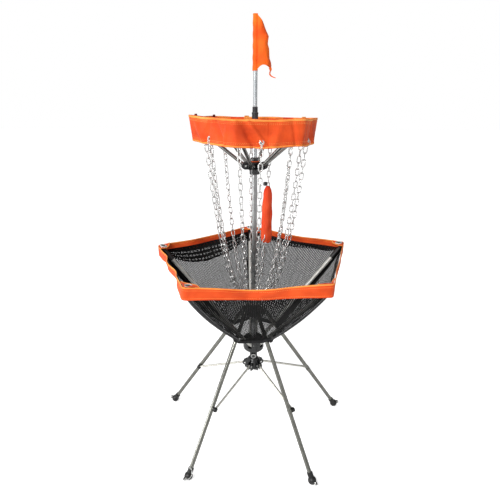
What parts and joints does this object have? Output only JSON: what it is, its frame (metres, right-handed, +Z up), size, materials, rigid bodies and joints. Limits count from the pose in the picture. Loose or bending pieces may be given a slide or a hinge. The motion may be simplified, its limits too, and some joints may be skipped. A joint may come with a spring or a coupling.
{
  "type": "disc golf basket",
  "caption": "Portable folding disc golf target: mesh basket with a fabric rim on splayed legs, hanging catch chains under a fabric band, and a flag on a clamped mast.",
  "frame": {"origin": "on the ground, at the main pole's axis", "axes": "+Z up along the pole; front, where one straight side of the rim faces, is -Y; +X is to the right seen from the front"},
  "size_m": [0.8119, 0.7811, 1.643],
  "materials": {
    "pole_aluminium": "drawn tube, satin, bright highlights",
    "leg_tube": "drawn tube, satin, slightly warm grey",
    "strut_rod": "bright drawn rod",
    "arm_tube": "drawn tube, satin",
    "hub_plastic": "moulded black nylon, slightly glossy",
    "clamp_plastic": "moulded charcoal plastic with grip ribs",
    "foot_plastic": "moulded black rubbery plastic",
    "rivet_steel": "polished zinc plate",
    "zinc_chain": "bright zinc-plated welded wire",
    "orange_nylon": "coated woven nylon with yellow-orange binding",
    "pouch_nylon": "woven nylon, gathered",
    "flag_nylon": "thin bright woven nylon",
    "black_mesh": "open knitted mesh",
    "orange_cord": "braided cord"
  },
  "bodies": {
    "root": {"main_pole": "pole_aluminium", "upper_pole": "pole_aluminium", "base_hub": "hub_plastic", "basket_hub": "hub_plastic", "hub_rivets": "rivet_steel", "clamp_base": "clamp_plastic", "top_band": "orange_nylon", "rim_band": "orange_nylon", "basket_mesh": "black_mesh", "pouch": "pouch_nylon", "pouch_toggle": "foot_plastic", "chain_ring": "zinc_chain", "chains_outer": "zinc_chain", "chains_inner": "zinc_chain"},
    "crown": {"crown": "hub_plastic", "crown_rivets": "rivet_steel"},
    "leg_1": {"leg_1": "leg_tube", "foot_1": "foot_plastic", "leg_clip_1": "foot_plastic"},
    "leg_2": {"leg_2": "leg_tube", "foot_2": "foot_plastic", "leg_clip_2": "foot_plastic"},
    "leg_3": {"leg_3": "leg_tube", "foot_3": "foot_plastic", "leg_clip_3": "foot_plastic"},
    "leg_4": {"leg_4": "leg_tube", "foot_4": "foot_plastic", "leg_clip_4": "foot_plastic"},
    "leg_5": {"leg_5": "leg_tube", "foot_5": "foot_plastic", "leg_clip_5": "foot_plastic"},
    "strut_1": {"strut_1": "strut_rod"},
    "strut_2": {"strut_2": "strut_rod"},
    "strut_3": {"strut_3": "strut_rod"},
    "strut_4": {"strut_4": "strut_rod"},
    "strut_5": {"strut_5": "strut_rod"},
    "basket_arm_1": {"basket_arm_1": "arm_tube", "arm_cap_1": "foot_plastic"},
    "basket_arm_2": {"basket_arm_2": "arm_tube", "arm_cap_2": "foot_plastic"},
    "basket_arm_3": {"basket_arm_3": "arm_tube", "arm_cap_3": "foot_plastic"},
    "basket_arm_4": {"basket_arm_4": "arm_tube", "arm_cap_4": "foot_plastic"},
    "basket_arm_5": {"basket_arm_5": "arm_tube", "arm_cap_5": "foot_plastic"},
    "top_hub": {"top_hub": "hub_plastic", "top_hub_rivets": "rivet_steel"},
    "top_arm_1": {"top_arm_1": "arm_tube"},
    "top_arm_2": {"top_arm_2": "arm_tube"},
    "top_arm_3": {"top_arm_3": "arm_tube"},
    "top_arm_4": {"top_arm_4": "arm_tube"},
    "top_arm_5": {"top_arm_5": "arm_tube"},
    "top_arm_6": {"top_arm_6": "arm_tube"},
    "release_loop": {"release_loop": "orange_cord"},
    "release_button": {"release_button": "rivet_steel"},
    "flag_mast": {"flag_pole": "pole_aluminium", "flag": "flag_nylon"},
    "clamp_nut": {"clamp_nut": "clamp_plastic"},
    "stake_ring": {"stake_ring": "rivet_steel"}
  },
  "joints": [
    {"name": "crown_drop", "type": "slide", "parent": "root", "child": "crown", "axis": [0, 0, -1], "range_m": [0, 0.0906]},
    {"name": "leg_1_fold", "type": "hinge", "parent": "crown", "child": "leg_1", "pos_m": [-0.0367, -0.03251, 0.552], "axis": [0.8018, -0.5976, 0], "range_deg": [0, 25.3]},
    {"name": "leg_2_fold", "type": "hinge", "parent": "crown", "child": "leg_2", "pos_m": [0.01958, -0.04495, 0.552], "axis": [0.8161, 0.5779, 0], "range_deg": [0, 25.3]},
    {"name": "leg_3_fold", "type": "hinge", "parent": "crown", "child": "leg_3", "pos_m": [0.0488, 0.00473, 0.552], "axis": [-0.2974, 0.9548, 0], "range_deg": [0, 25.3]},
    {"name": "leg_4_fold", "type": "hinge", "parent": "crown", "child": "leg_4", "pos_m": [0.01059, 0.04787, 0.552], "axis": [-0.9999, 0.0122, 0], "range_deg": [0, 25.3]},
    {"name": "leg_5_fold", "type": "hinge", "parent": "crown", "child": "leg_5", "pos_m": [-0.04226, 0.02486, 0.552], "axis": [-0.3206, -0.9472, 0], "range_deg": [0, 25.3]},
    {"name": "strut_1_fold", "type": "hinge", "parent": "root", "child": "strut_1", "pos_m": [-0.01631, -0.03025, 0.31], "axis": [0.8018, -0.5976, 0], "range_deg": [0, 54.53]},
    {"name": "strut_2_fold", "type": "hinge", "parent": "root", "child": "strut_2", "pos_m": [0.02373, -0.02486, 0.31], "axis": [0.8161, 0.5779, 0], "range_deg": [0, 54.53]},
    {"name": "strut_3_fold", "type": "hinge", "parent": "root", "child": "strut_3", "pos_m": [0.03097, 0.01489, 0.31], "axis": [-0.2974, 0.9548, 0], "range_deg": [0, 54.53]},
    {"name": "strut_4_fold", "type": "hinge", "parent": "root", "child": "strut_4", "pos_m": [-0.00458, 0.03406, 0.31], "axis": [-0.9999, 0.0122, 0], "range_deg": [0, 54.53]},
    {"name": "strut_5_fold", "type": "hinge", "parent": "root", "child": "strut_5", "pos_m": [-0.03381, 0.00617, 0.31], "axis": [-0.3206, -0.9472, 0], "range_deg": [0, 54.53]},
    {"name": "basket_arm_1_fold", "type": "hinge", "parent": "root", "child": "basket_arm_1", "pos_m": [-0.01119, -0.03363, 0.415], "axis": [-0.8211, 0.5707, 0], "range_deg": [0, 26.9], "deforming": ["basket_mesh", "rim_band"]},
    {"name": "basket_arm_2_fold", "type": "hinge", "parent": "root", "child": "basket_arm_2", "pos_m": [0.02852, -0.02104, 0.415], "axis": [-0.7965, -0.6046, 0], "range_deg": [0, 26.9]},
    {"name": "basket_arm_3_fold", "type": "hinge", "parent": "root", "child": "basket_arm_3", "pos_m": [0.02882, 0.02063, 0.415], "axis": [0.3289, -0.9444, 0], "range_deg": [0, 26.9]},
    {"name": "basket_arm_4_fold", "type": "hinge", "parent": "root", "child": "basket_arm_4", "pos_m": [-0.01071, 0.03378, 0.415], "axis": [0.9998, 0.0209, 0], "range_deg": [0, 26.9]},
    {"name": "basket_arm_5_fold", "type": "hinge", "parent": "root", "child": "basket_arm_5", "pos_m": [-0.03544, 0.00025, 0.415], "axis": [0.289, 0.9573, 0], "range_deg": [0, 26.9]},
    {"name": "top_hub_drop", "type": "slide", "parent": "root", "child": "top_hub", "axis": [0, 0, -1], "range_m": [0, 0.1], "deforming": ["top_band", "chains_outer", "chains_inner"]},
    {"name": "top_arm_1_fold", "type": "hinge", "parent": "top_hub", "child": "top_arm_1", "pos_m": [-0.01082, -0.03433, 1.148], "axis": [-0.9537, 0.3007, 0], "range_deg": [0, 42.65]},
    {"name": "top_arm_2_fold", "type": "hinge", "parent": "top_hub", "child": "top_arm_2", "pos_m": [0.02432, -0.02654, 1.148], "axis": [-0.7373, -0.6756, 0], "range_deg": [0, 42.65]},
    {"name": "top_arm_3_fold", "type": "hinge", "parent": "top_hub", "child": "top_arm_3", "pos_m": [0.03515, 0.00779, 1.148], "axis": [0.2164, -0.9763, 0], "range_deg": [0, 42.65]},
    {"name": "top_arm_4_fold", "type": "hinge", "parent": "top_hub", "child": "top_arm_4", "pos_m": [0.01082, 0.03433, 1.148], "axis": [0.9537, -0.3007, 0], "range_deg": [0, 42.65]},
    {"name": "top_arm_5_fold", "type": "hinge", "parent": "top_hub", "child": "top_arm_5", "pos_m": [-0.02432, 0.02654, 1.148], "axis": [0.7373, 0.6756, 0], "range_deg": [0, 42.65]},
    {"name": "top_arm_6_fold", "type": "hinge", "parent": "top_hub", "child": "top_arm_6", "pos_m": [-0.03515, -0.00779, 1.148], "axis": [-0.2164, 0.9763, 0], "range_deg": [0, 42.65]},
    {"name": "release_loop_pull", "type": "slide", "parent": "top_hub", "child": "release_loop", "axis": [0, 0, 1], "range_m": [0, 0.006]},
    {"name": "release_button_press", "type": "slide", "parent": "root", "child": "release_button", "axis": [0, 1, 0], "range_m": [0, 0.0025], "stiffness_N_per_m": 400, "springref_m": -0.001},
    {"name": "flag_mast_slide", "type": "slide", "parent": "root", "child": "flag_mast", "axis": [0, 0, -1], "range_m": [0, 0.1]},
    {"name": "clamp_nut_twist", "type": "hinge", "parent": "root", "child": "clamp_nut", "pos_m": [0, 0, 1.3343], "axis": [0, 0, 1], "range_deg": [0, 90]},
    {"name": "stake_ring_swing", "type": "hinge", "parent": "leg_1", "child": "stake_ring", "pos_m": [-0.25842, -0.32997, 0.0162], "axis": [0.8018, -0.5976, 0], "range_deg": [0, 110]}
  ],
  "couplings": [
    {"joint": "leg_1_fold", "follows": "crown_drop", "rad_per_m": 4.865},
    {"joint": "leg_2_fold", "follows": "crown_drop", "rad_per_m": 4.865},
    {"joint": "leg_3_fold", "follows": "crown_drop", "rad_per_m": 4.865},
    {"joint": "leg_4_fold", "follows": "crown_drop", "rad_per_m": 4.865},
    {"joint": "leg_5_fold", "follows": "crown_drop", "rad_per_m": 4.865},
    {"joint": "strut_1_fold", "follows": "crown_drop", "rad_per_m": 10.495},
    {"joint": "strut_2_fold", "follows": "crown_drop", "rad_per_m": 10.495},
    {"joint": "strut_3_fold", "follows": "crown_drop", "rad_per_m": 10.495},
    {"joint": "strut_4_fold", "follows": "crown_drop", "rad_per_m": 10.495},
    {"joint": "strut_5_fold", "follows": "crown_drop", "rad_per_m": 10.495},
    {"joint": "basket_arm_2_fold", "follows": "basket_arm_1_fold", "ratio": 1},
    {"joint": "basket_arm_3_fold", "follows": "basket_arm_1_fold", "ratio": 1},
    {"joint": "basket_arm_4_fold", "follows": "basket_arm_1_fold", "ratio": 1},
    {"joint": "basket_arm_5_fold", "follows": "basket_arm_1_fold", "ratio": 1},
    {"joint": "top_arm_1_fold", "follows": "top_hub_drop", "rad_per_m": 7.4351},
    {"joint": "top_arm_2_fold", "follows": "top_hub_drop", "rad_per_m": 7.4351},
    {"joint": "top_arm_3_fold", "follows": "top_hub_drop", "rad_per_m": 7.4351},
    {"joint": "top_arm_4_fold", "follows": "top_hub_drop", "rad_per_m": 7.4351},
    {"joint": "top_arm_5_fold", "follows": "top_hub_drop", "rad_per_m": 7.4351},
    {"joint": "top_arm_6_fold", "follows": "top_hub_drop", "rad_per_m": 7.4351}
  ]
}
